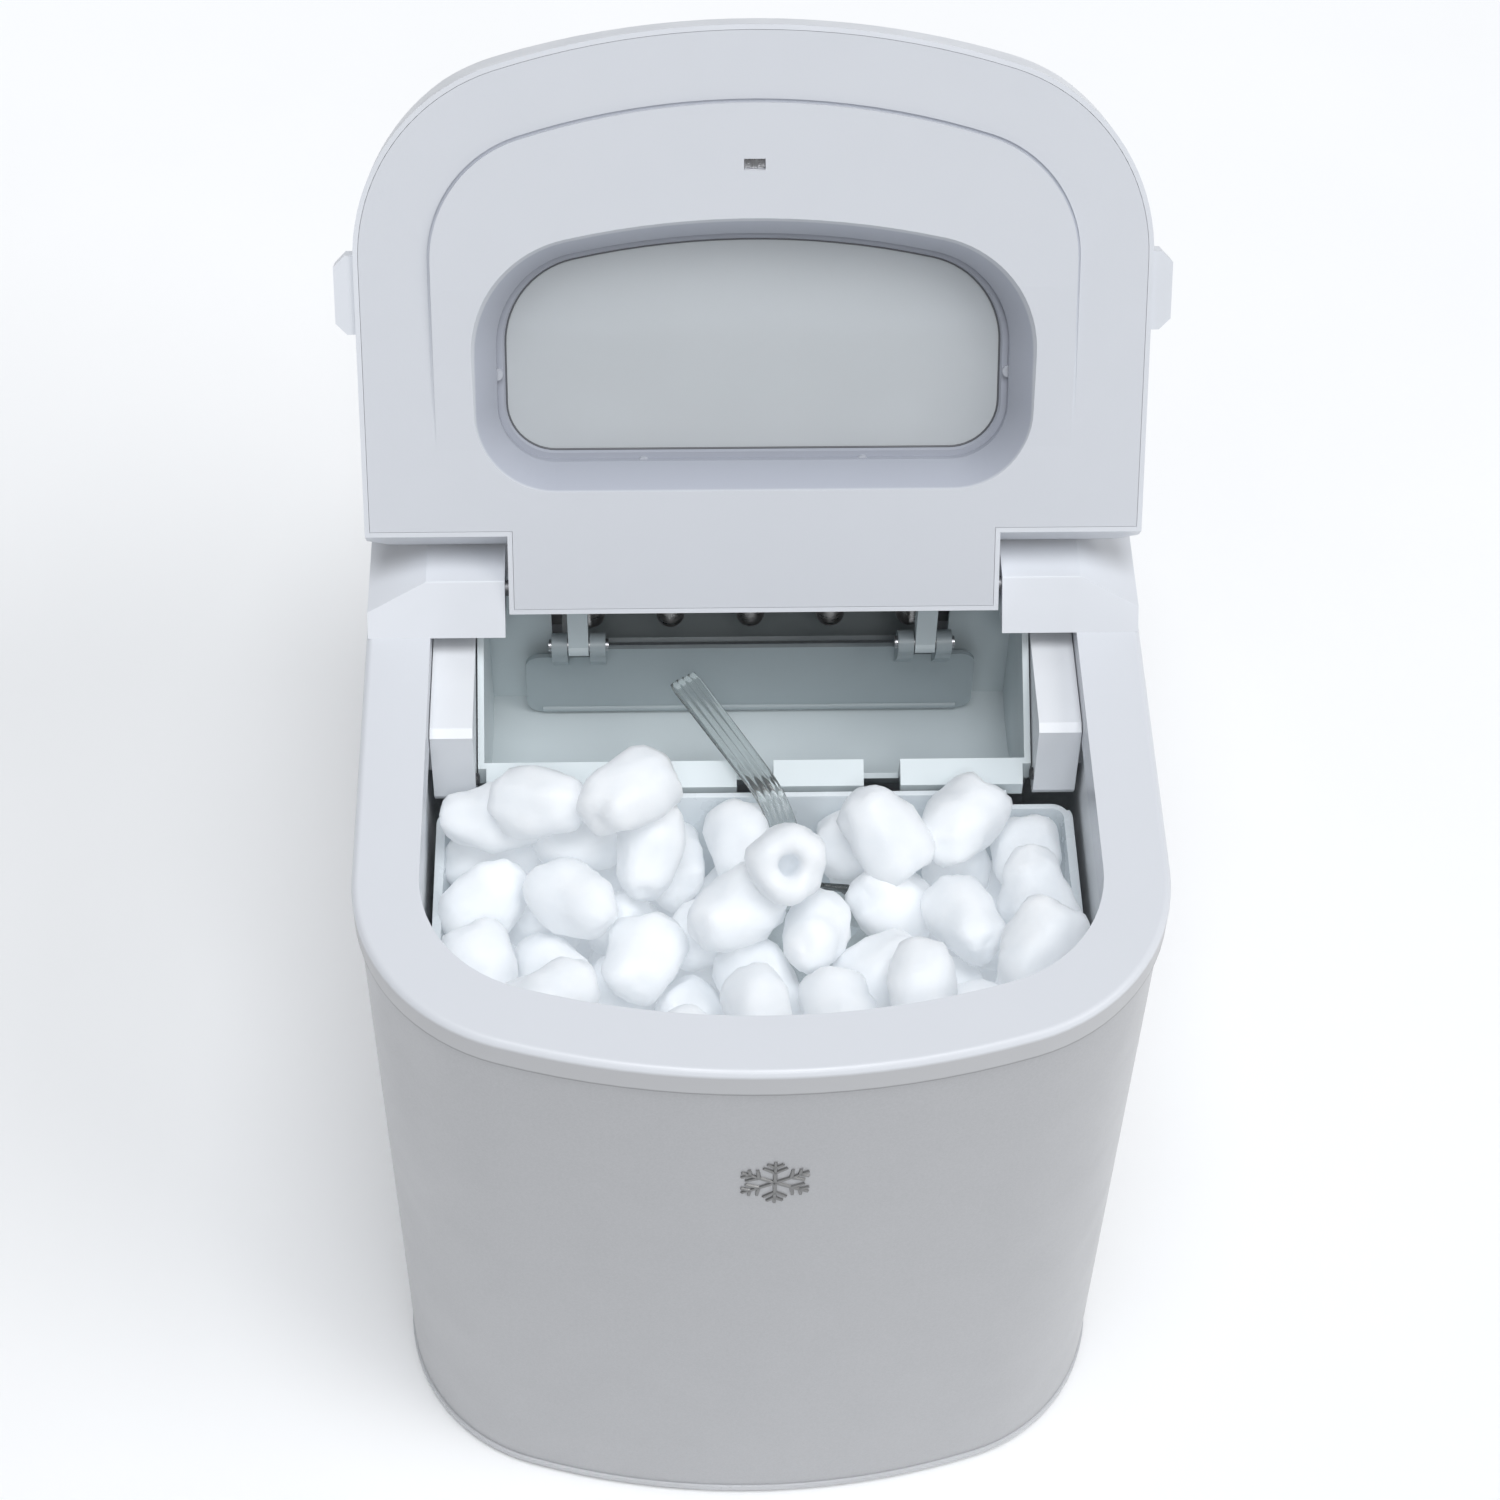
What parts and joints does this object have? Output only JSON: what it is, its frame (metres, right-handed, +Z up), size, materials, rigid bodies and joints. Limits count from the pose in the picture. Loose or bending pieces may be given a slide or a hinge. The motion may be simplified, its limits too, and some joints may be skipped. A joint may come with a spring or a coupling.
{
  "type": "ice maker",
  "caption": "Countertop ice maker with a bowed front, a windowed lid that opens, a lift-out ice basket, and a tilting water tray and ice shovel inside.",
  "frame": {"origin": "bottom centre of the cabinet, on the surface that the feet stand on", "axes": "+Z up, -Y towards the front, +X to the right of someone who faces the front"},
  "size_m": [0.252, 0.358, 0.4321],
  "materials": {
    "white_plastic": "satin",
    "silver_shell": "satin",
    "liner_plastic": "satin",
    "grey_plastic": "satin",
    "dark_plastic": "matte",
    "smoked_window": "gloss",
    "basket_plastic": "satin",
    "button_plastic": "satin",
    "lens_plastic": "gloss",
    "nickel_plate": "satin",
    "aluminium": "satin",
    "copper_tube": "satin",
    "compressor_paint": "satin",
    "steel": "satin",
    "rubber_black": "matte",
    "hose_rubber": "satin",
    "board_green": "satin",
    "insulation_foam": "matte"
  },
  "bodies": {
    "cabinet": {"base_pan": "button_plastic", "feet": "rubber_black", "front_shell": "silver_shell", "side_panel_left": "silver_shell", "side_panel_right": "silver_shell", "rear_panel": "silver_shell", "cord_gland": "rubber_black", "rear_screws": "steel", "top_bezel": "white_plastic", "rear_housing": "white_plastic", "control_panel": "dark_plastic", "indicator_lenses": "lens_plastic", "control_board": "board_green", "water_tub": "liner_plastic", "drain_spout": "liner_plastic", "ice_trough": "liner_plastic", "shovel_hangers": "liner_plastic", "shovel_pins": "steel", "sensor_bracket_right": "white_plastic", "sensor_bracket_left": "white_plastic", "ice_sensor_emitter": "dark_plastic", "ice_sensor_receiver": "dark_plastic", "evaporator_block": "nickel_plate", "evaporator_fingers": "nickel_plate", "evaporator_insulation": "insulation_foam", "tray_motor": "white_plastic", "tray_bearing": "white_plastic", "water_level_sensor": "white_plastic", "water_pump": "dark_plastic", "pump_hose": "hose_rubber", "compressor": "compressor_paint", "compressor_grommets": "rubber_black", "condenser_fins": "aluminium", "condenser_tube": "copper_tube", "condenser_bracket": "steel", "fan_shroud": "dark_plastic", "fan_motor": "dark_plastic", "filter_drier": "copper_tube", "discharge_tube": "copper_tube", "liquid_tube": "copper_tube", "suction_tube": "copper_tube", "main_board": "board_green", "hinge_pins": "steel"},
    "lid": {"lid_cover": "white_plastic", "lid_inner_panel": "white_plastic", "lid_window": "smoked_window", "window_clips": "white_plastic", "lid_magnet": "steel"},
    "basket": {"ice_basket": "basket_plastic"},
    "shovel": {"ice_shovel": "grey_plastic"},
    "tray": {"water_tray": "liner_plastic"},
    "fan": {"fan_blade": "dark_plastic"},
    "power_key": {"power_button": "button_plastic"},
    "select_key": {"select_button": "button_plastic"},
    "drain_plug": {"drain_cap": "rubber_black"}
  },
  "joints": [
    {"name": "lid_hinge", "type": "hinge", "parent": "cabinet", "child": "lid", "pos_m": [0, -0.0032, 0.2777], "axis": [-1, 0, 0], "range_deg": [-120.5, 0]},
    {"name": "basket_lift", "type": "slide", "parent": "cabinet", "child": "basket", "axis": [0, 0, 1], "range_m": [0, 0.12]},
    {"name": "tray_tilt", "type": "hinge", "parent": "cabinet", "child": "tray", "pos_m": [0, 0.058, 0.256], "axis": [-1, 0, 0], "range_deg": [0, 53]},
    {"name": "shovel_swing", "type": "hinge", "parent": "cabinet", "child": "shovel", "pos_m": [0, 0, 0.246], "axis": [-1, 0, 0], "range_deg": [0, 92.01]},
    {"name": "fan_spin", "type": "hinge", "parent": "cabinet", "child": "fan", "pos_m": [0.054, 0.155, 0.09], "axis": [0, 1, 0], "continuous": true},
    {"name": "power_press", "type": "slide", "parent": "cabinet", "child": "power_key", "axis": [0, 0.5226, -0.8526], "range_m": [0, 0.0012], "stiffness_N_per_m": 400},
    {"name": "select_press", "type": "slide", "parent": "cabinet", "child": "select_key", "axis": [0, 0.5226, -0.8526], "range_m": [0, 0.0012], "stiffness_N_per_m": 400},
    {"name": "drain_pull", "type": "slide", "parent": "cabinet", "child": "drain_plug", "axis": [1, 0, 0], "range_m": [0, 0.012]}
  ],
  "couplings": [
    {"joint": "shovel_swing", "follows": "tray_tilt", "ratio": 1.7358}
  ]
}
